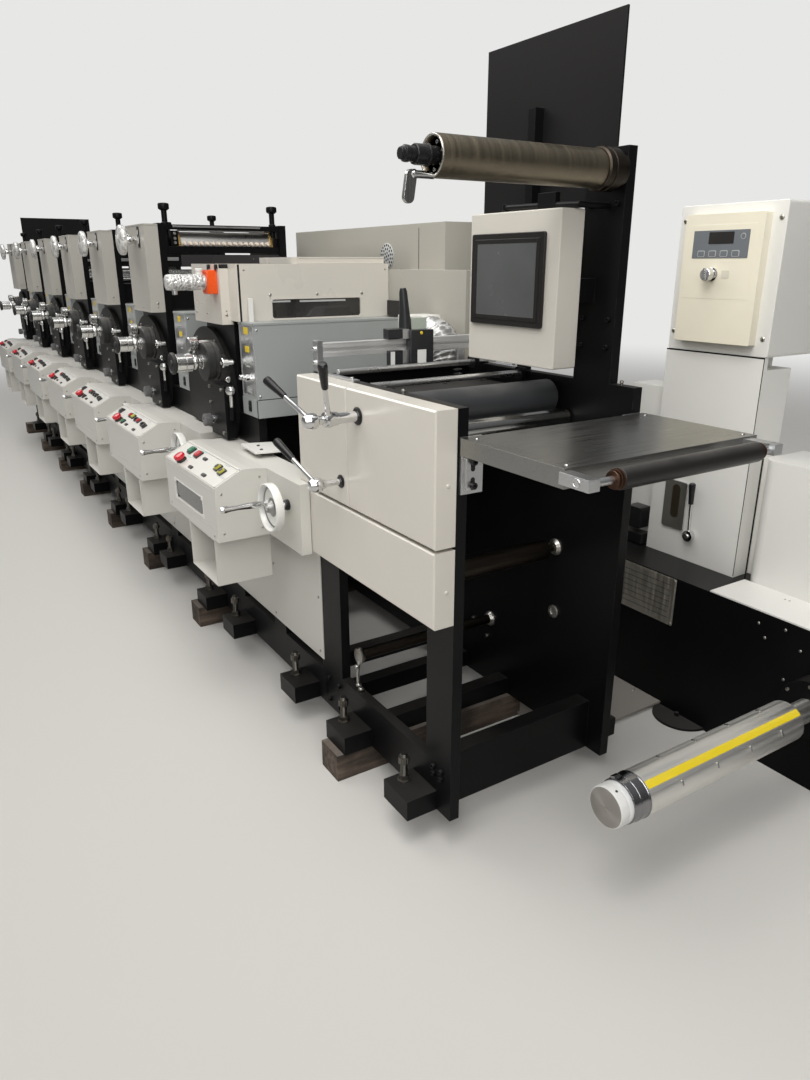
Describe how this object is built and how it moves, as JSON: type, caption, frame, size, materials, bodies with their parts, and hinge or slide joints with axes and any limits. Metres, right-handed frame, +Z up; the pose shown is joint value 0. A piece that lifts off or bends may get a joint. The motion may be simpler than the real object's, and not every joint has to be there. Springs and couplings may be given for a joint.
{
  "type": "intermittent letterpress",
  "caption": "Narrow-web intermittent letterpress line with printing towers, a varnishing unit, control consoles, an outfeed stand with table and core roller, and an unwind stand with air shaft.",
  "frame": {"origin": "on the floor under the middle of the whole machine's footprint", "axes": "+X along the line toward the outfeed end with the table, +Y toward the drive side, -Y toward the operator, +Z up"},
  "size_m": [7.41, 1.818, 2.08],
  "materials": {
    "black": "semi-gloss paint on sheet steel",
    "cover": "semi-gloss paint on sheet steel",
    "console": "semi-gloss paint on sheet steel",
    "tower": "semi-gloss paint on sheet steel",
    "grey": "semi-gloss paint on sheet steel",
    "rail": "semi-gloss paint on sheet steel",
    "steel": "brushed or turned",
    "chrome": "polished",
    "lever": "polished",
    "alu": "brushed or extruded",
    "brown_steel": "brushed or turned",
    "dark_rubber": "smooth",
    "edge_rubber": "smooth",
    "wheel": "moulded",
    "wrapped": "moulded",
    "red": "moulded",
    "orange": "moulded",
    "screen": "moulded",
    "board": "matt sheet",
    "brass": "machined",
    "wood": "rough sawn",
    "white": "semi-gloss paint on sheet steel",
    "cream": "moulded",
    "disc": "matt sheet",
    "foil": "brushed or extruded"
  },
  "bodies": {
    "machine": {"outfeed_stand_frame": "black", "outfeed_stand_covers": "cover", "bright_guide_rods": "chrome", "brown_idler_tubes": "brown_steel", "outfeed_table": "steel", "table_brackets": "alu", "shield_board": "board", "screen_box": "cover", "touch_screen": "screen", "inspection_rail": "alu", "control_consoles": "console", "console_trays": "console", "emergency_stops": "red", "console_handwheels_far": "wheel", "base_rails": "rail", "skirt_panels": "console", "levelling_pads": "black", "timber_packers": "wood", "varnish_unit_plates": "black", "varnish_unit_covers": "cover", "valve_box": "orange", "valve_motor": "foil", "drying_housings": "grey", "letterpress_frames": "black", "press_interiors": "black", "tower_covers": "tower", "tower_handwheels_far": "wrapped", "lifting_rods": "black", "ink_fountain_troughs": "steel", "fountain_brass_ends": "brass", "fountain_rollers": "steel", "drum_guards": "disc", "register_discs": "disc", "register_couplings": "chrome", "impression_brackets": "black", "gear_covers": "cover", "drive_side_cabinets": "cover", "unwind_base": "black", "unwind_covers": "white", "tension_control_box": "white", "tension_control_panel": "cream", "brake_pivot": "steel", "floor_tie_plate": "white", "exhaust_duct": "foil", "feed_plate": "white", "print_sensor": "disc", "adjusting_knobs": "disc"},
    "lever_upper_outer_body": {"lever_upper_outer": "lever"},
    "lever_upper_inner_body": {"lever_upper_inner": "lever"},
    "lever_lower_body": {"lever_lower": "lever"},
    "rubber_nip_roller_body": {"rubber_nip_roller": "dark_rubber"},
    "steel_nip_roller_body": {"steel_nip_roller": "chrome"},
    "table_edge_roller_body": {"table_edge_roller": "edge_rubber"},
    "core_roller_body": {"core_roller": "brown_steel"},
    "console_handwheel_1_body": {"console_handwheel_1": "wheel"},
    "console_handwheel_2_body": {"console_handwheel_2": "wheel"},
    "tower_handwheel_1_body": {"tower_handwheel_1": "wrapped"},
    "tower_handwheel_2_body": {"tower_handwheel_2": "wrapped"},
    "brake_lever_body": {"brake_lever": "lever"},
    "air_shaft_body": {"air_shaft": "alu"}
  },
  "joints": [
    {"name": "lever_upper_outer_turn", "type": "hinge", "parent": "machine", "child": "lever_upper_outer_body", "pos_m": [2.714, -0.804, 1.132], "axis": [0, 1, 0], "range_deg": [-15, 75]},
    {"name": "lever_upper_inner_turn", "type": "hinge", "parent": "machine", "child": "lever_upper_inner_body", "pos_m": [2.714, -0.758, 1.132], "axis": [0, 1, 0], "range_deg": [-75, 20]},
    {"name": "lever_lower_turn", "type": "hinge", "parent": "machine", "child": "lever_lower_body", "pos_m": [2.612, -0.748, 0.937], "axis": [0, 1, 0], "range_deg": [-25, 60]},
    {"name": "rubber_nip_roller_turn", "type": "hinge", "parent": "machine", "child": "rubber_nip_roller_body", "pos_m": [2.755, -0.3205, 1.138], "axis": [0, 1, 0], "continuous": true},
    {"name": "steel_nip_roller_turn", "type": "hinge", "parent": "machine", "child": "steel_nip_roller_body", "pos_m": [2.82, -0.3205, 1.086], "axis": [0, 1, 0], "continuous": true},
    {"name": "table_edge_roller_turn", "type": "hinge", "parent": "machine", "child": "table_edge_roller_body", "pos_m": [3.475, -0.339, 1.118], "axis": [0, 1, 0], "continuous": true},
    {"name": "core_roller_turn", "type": "hinge", "parent": "machine", "child": "core_roller_body", "pos_m": [2.952, -0.374, 1.715], "axis": [0, 1, 0], "continuous": true},
    {"name": "console_handwheel_1_turn", "type": "hinge", "parent": "machine", "child": "console_handwheel_1_body", "pos_m": [2.324, -0.752, 0.803], "axis": [0, 1, 0], "continuous": true},
    {"name": "console_handwheel_2_turn", "type": "hinge", "parent": "machine", "child": "console_handwheel_2_body", "pos_m": [1.424, -0.752, 0.803], "axis": [0, 1, 0], "continuous": true},
    {"name": "tower_handwheel_1_turn", "type": "hinge", "parent": "machine", "child": "tower_handwheel_1_body", "pos_m": [0.745, -0.719, 1.597], "axis": [0, 1, 0], "continuous": true},
    {"name": "tower_handwheel_2_turn", "type": "hinge", "parent": "machine", "child": "tower_handwheel_2_body", "pos_m": [-0.065, -0.719, 1.597], "axis": [0, 1, 0], "continuous": true},
    {"name": "brake_lever_turn", "type": "hinge", "parent": "machine", "child": "brake_lever_body", "pos_m": [2.785, 0.6, 0.592], "axis": [0, 1, 0], "range_deg": [-40, 40]},
    {"name": "air_shaft_turn", "type": "hinge", "parent": "machine", "child": "air_shaft_body", "pos_m": [3.419, 0.286, 0.288], "axis": [0, 1, 0], "continuous": true}
  ]
}
